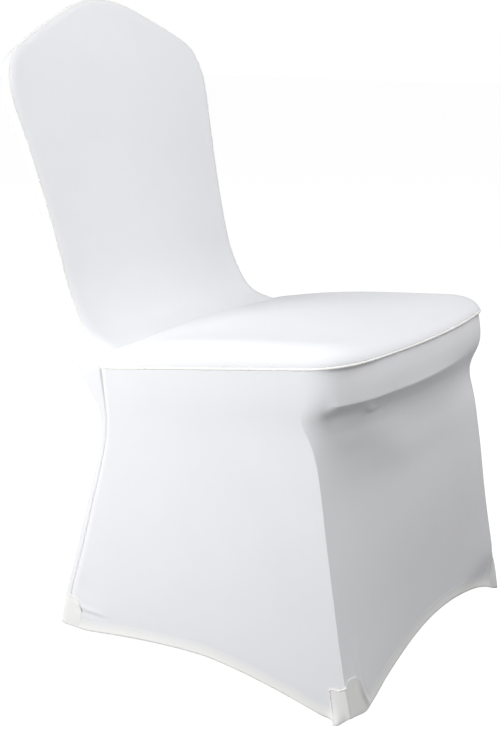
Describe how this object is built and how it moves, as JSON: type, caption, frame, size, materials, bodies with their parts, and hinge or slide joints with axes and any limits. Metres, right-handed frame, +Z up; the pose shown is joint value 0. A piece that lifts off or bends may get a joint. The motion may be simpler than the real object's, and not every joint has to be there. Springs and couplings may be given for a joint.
{
  "type": "chair cover",
  "caption": "Hollow fitted stretch cover for a banquet chair: a crown-shaped leaning back, a rounded seat, a flared skirt with arched hems and a pocket at each foot.",
  "frame": {"origin": "the floor under the middle of the cover's bounding box", "axes": "+Z up, -Y towards the sitter's front, +X towards the sitter's left"},
  "size_m": [0.4616, 0.6195, 0.904],
  "materials": {
    "cloth": "matt white stretch knit",
    "pocket_cloth": "matt white doubled stretch knit"
  },
  "bodies": {
    "root": {"inside_back_and_seat": "cloth", "outside_back": "cloth", "skirt": "cloth", "foot_pocket_front_right": "pocket_cloth", "foot_pocket_front_left": "pocket_cloth", "foot_pocket_rear_right": "pocket_cloth", "foot_pocket_rear_left": "pocket_cloth"}
  },
  "joints": []
}
